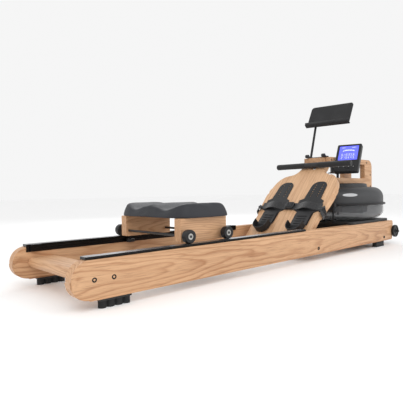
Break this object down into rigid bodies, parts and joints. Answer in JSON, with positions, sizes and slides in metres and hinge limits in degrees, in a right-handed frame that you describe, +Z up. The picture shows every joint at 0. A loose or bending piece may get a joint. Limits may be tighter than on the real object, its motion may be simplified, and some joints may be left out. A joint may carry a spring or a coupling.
{
  "type": "rowing machine",
  "caption": "Water-resistance rowing machine: wooden rails, sliding seat, sloped footboard, smoked tank under a wooden tower, pull handle, monitor and tablet holder.",
  "frame": {"origin": "on the floor, under the middle of the machine's outer box", "axes": "+X along the rails from the seat towards the tank, +Y to the rower's left, +Z up"},
  "size_m": [2.15, 0.58, 0.8621],
  "materials": {
    "wood": "satin lacquered ash with open cathedral grain",
    "rubber": "matt moulded rubber",
    "wheel_rubber": "smooth polyurethane tread",
    "track_metal": "black anodised, polished by the wheels on top",
    "black_plastic": "fine moulded texture",
    "black_metal": "black powder coat",
    "steel": "drawn bar",
    "cushion_foam": "moulded integral-skin foam, fine leather grain",
    "grip_foam": "dense foam sleeve",
    "webbing": "ribbed woven webbing",
    "smoked_tank": "smoked clear plastic",
    "screen": "lit liquid crystal behind clear plastic",
    "button": "printed rubber key"
  },
  "bodies": {
    "frame": {"side_rail_left": "wood", "side_rail_right": "wood", "rear_crossmember": "wood", "middle_crossmember": "wood", "front_crossmember": "wood", "rear_foot_left": "rubber", "rear_foot_right": "rubber", "front_foot_left": "rubber", "front_foot_right": "rubber", "seat_track_left": "track_metal", "seat_track_right": "track_metal", "tank_base": "black_plastic", "transport_axle": "black_metal", "footboard": "wood", "foot_plate_left": "black_plastic", "foot_plate_right": "black_plastic", "foot_strap": "webbing", "strap_buckle": "black_plastic", "tank_lower_shell": "smoked_tank", "tank_upper_shell": "smoked_tank", "tank_ring": "black_plastic", "hold_down_left": "black_plastic", "hold_down_right": "black_plastic", "tower_side_left": "wood", "tower_side_right": "wood", "tower_deck": "wood", "handle_hooks": "black_plastic"},
    "seat": {"seat_block_left": "wood", "seat_block_right": "wood", "seat_axle_rear": "steel", "seat_axle_front": "steel", "seat_cushion": "cushion_foam"},
    "seat_wheel_rl": {"seat_wheel_rear_left": "wheel_rubber"},
    "seat_wheel_rr": {"seat_wheel_rear_right": "wheel_rubber"},
    "seat_wheel_fl": {"seat_wheel_front_left": "wheel_rubber"},
    "seat_wheel_fr": {"seat_wheel_front_right": "wheel_rubber"},
    "guide_l": {"guide_roller_left": "black_plastic"},
    "guide_r": {"guide_roller_right": "black_plastic"},
    "handle": {"handle_bar": "black_plastic", "handle_grip_left": "grip_foam", "handle_grip_right": "grip_foam", "pull_strap": "webbing"},
    "roller": {"strap_roller": "black_plastic"},
    "drum": {"strap_drum": "black_plastic", "recoil_spring": "steel"},
    "impeller": {"impeller": "black_plastic"},
    "heel_left": {"heel_plate_left": "black_plastic"},
    "heel_right": {"heel_plate_right": "black_plastic"},
    "monitor_arm": {"monitor_arm": "black_metal"},
    "monitor": {"monitor_housing": "black_plastic", "monitor_screen": "screen"},
    "button_1": {"monitor_button_1": "button"},
    "button_2": {"monitor_button_2": "button"},
    "button_3": {"monitor_button_3": "button"},
    "button_4": {"monitor_button_4": "button"},
    "holder": {"holder_pole": "black_metal"},
    "tray": {"tablet_tray": "black_plastic"},
    "transport_left": {"transport_wheel_left": "wheel_rubber"},
    "transport_right": {"transport_wheel_right": "wheel_rubber"}
  },
  "joints": [
    {"name": "seat_slide", "type": "slide", "parent": "frame", "child": "seat", "axis": [1, 0, 0], "range_m": [-0.32, 0.46]},
    {"name": "wheel_rl_spin", "type": "hinge", "parent": "seat", "child": "seat_wheel_rl", "pos_m": [-0.623, 0.23, 0.1831], "axis": [0, 1, 0], "continuous": true},
    {"name": "wheel_rr_spin", "type": "hinge", "parent": "seat", "child": "seat_wheel_rr", "pos_m": [-0.623, -0.23, 0.1831], "axis": [0, 1, 0], "continuous": true},
    {"name": "wheel_fl_spin", "type": "hinge", "parent": "seat", "child": "seat_wheel_fl", "pos_m": [-0.431, 0.23, 0.1831], "axis": [0, 1, 0], "continuous": true},
    {"name": "wheel_fr_spin", "type": "hinge", "parent": "seat", "child": "seat_wheel_fr", "pos_m": [-0.431, -0.23, 0.1831], "axis": [0, 1, 0], "continuous": true},
    {"name": "guide_l_spin", "type": "hinge", "parent": "seat", "child": "guide_l", "pos_m": [-0.597, 0.1984, 0.14], "axis": [0, 0, 1], "continuous": true},
    {"name": "guide_r_spin", "type": "hinge", "parent": "seat", "child": "guide_r", "pos_m": [-0.597, -0.1984, 0.14], "axis": [0, 0, 1], "continuous": true},
    {"name": "handle_pull", "type": "slide", "parent": "frame", "child": "handle", "axis": [-1, 0, 0], "range_m": [0, 1.15], "stiffness_N_per_m": 20, "deforming": ["pull_strap"]},
    {"name": "roller_spin", "type": "hinge", "parent": "frame", "child": "roller", "pos_m": [0.557, 0, 0.484], "axis": [0, 1, 0], "continuous": true},
    {"name": "drum_spin", "type": "hinge", "parent": "frame", "child": "drum", "pos_m": [0.795, 0, 0.472], "axis": [0, 0, 1], "continuous": true},
    {"name": "impeller_spin", "type": "hinge", "parent": "frame", "child": "impeller", "pos_m": [0.795, 0, 0.22], "axis": [0, 0, 1], "continuous": true},
    {"name": "heel_left_slide", "type": "slide", "parent": "frame", "child": "heel_left", "axis": [0.7071, 0, 0.7071], "range_m": [-0.03, 0.04]},
    {"name": "heel_right_slide", "type": "slide", "parent": "frame", "child": "heel_right", "axis": [0.7071, 0, 0.7071], "range_m": [-0.03, 0.04]},
    {"name": "monitor_swivel", "type": "hinge", "parent": "frame", "child": "monitor_arm", "pos_m": [0.704, -0.073, 0.5353], "axis": [0, 0, 1], "range_deg": [0, 60]},
    {"name": "monitor_tilt", "type": "hinge", "parent": "monitor_arm", "child": "monitor", "pos_m": [0.67, -0.159, 0.551], "axis": [0.2079, -0.9781, 0], "range_deg": [-12, 0]},
    {"name": "button_1_press", "type": "slide", "parent": "monitor", "child": "button_1", "axis": [0.8471, 0.1801, -0.5], "range_m": [0, 0.0015], "stiffness_N_per_m": 1500},
    {"name": "button_2_press", "type": "slide", "parent": "monitor", "child": "button_2", "axis": [0.8471, 0.1801, -0.5], "range_m": [0, 0.0015], "stiffness_N_per_m": 1500},
    {"name": "button_3_press", "type": "slide", "parent": "monitor", "child": "button_3", "axis": [0.8471, 0.1801, -0.5], "range_m": [0, 0.0015], "stiffness_N_per_m": 1500},
    {"name": "button_4_press", "type": "slide", "parent": "monitor", "child": "button_4", "axis": [0.8471, 0.1801, -0.5], "range_m": [0, 0.0015], "stiffness_N_per_m": 1500},
    {"name": "holder_swivel", "type": "hinge", "parent": "frame", "child": "holder", "pos_m": [0.607, 0.073, 0.5353], "axis": [0, 0, 1], "range_deg": [-30, 30]},
    {"name": "tray_tilt", "type": "hinge", "parent": "holder", "child": "tray", "pos_m": [0.6479, 0.0602, 0.7445], "axis": [0.1392, -0.9903, 0], "range_deg": [-20, 20]},
    {"name": "transport_left_spin", "type": "hinge", "parent": "frame", "child": "transport_left", "pos_m": [1.019, 0.266, 0.082], "axis": [0, 1, 0], "continuous": true},
    {"name": "transport_right_spin", "type": "hinge", "parent": "frame", "child": "transport_right", "pos_m": [1.019, -0.266, 0.082], "axis": [0, 1, 0], "continuous": true}
  ],
  "couplings": [
    {"joint": "wheel_rl_spin", "follows": "seat_slide", "rad_per_m": 40.816},
    {"joint": "wheel_rr_spin", "follows": "seat_slide", "rad_per_m": 40.816},
    {"joint": "wheel_fl_spin", "follows": "seat_slide", "rad_per_m": 40.816},
    {"joint": "wheel_fr_spin", "follows": "seat_slide", "rad_per_m": 40.816},
    {"joint": "guide_l_spin", "follows": "seat_slide", "rad_per_m": 55.556},
    {"joint": "guide_r_spin", "follows": "seat_slide", "rad_per_m": -55.556},
    {"joint": "roller_spin", "follows": "handle_pull", "rad_per_m": -70.42},
    {"joint": "drum_spin", "follows": "handle_pull", "rad_per_m": -21.19}
  ]
}
